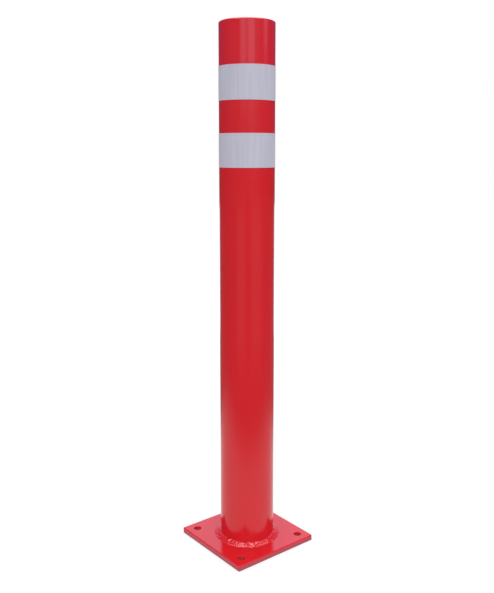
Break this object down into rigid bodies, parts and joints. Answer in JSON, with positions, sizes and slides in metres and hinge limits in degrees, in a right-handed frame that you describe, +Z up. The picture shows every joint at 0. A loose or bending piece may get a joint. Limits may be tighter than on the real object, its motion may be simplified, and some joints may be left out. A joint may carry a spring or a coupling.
{
  "type": "fixed bollard",
  "caption": "Straight round steel post with a flat cap, welded to a square base plate with anchor holes and wrapped with silver reflective bands near its top, to keep vehicles out.",
  "frame": {"origin": "centre of the base plate's underside, on the ground", "axes": "+Z up along the post's axis, X and Y along the sides of the base plate"},
  "size_m": [0.157, 0.157, 0.85],
  "materials": {
    "red_powder_coat": "glossy red powder coat over steel",
    "reflective_film": "silver-grey retroreflective film, smooth face"
  },
  "bodies": {
    "root": {"base_plate": "red_powder_coat", "post_tube": "red_powder_coat", "base_weld": "red_powder_coat", "top_cap": "red_powder_coat", "cap_weld": "red_powder_coat", "upper_reflective_band": "reflective_film", "lower_reflective_band": "reflective_film"}
  },
  "joints": []
}
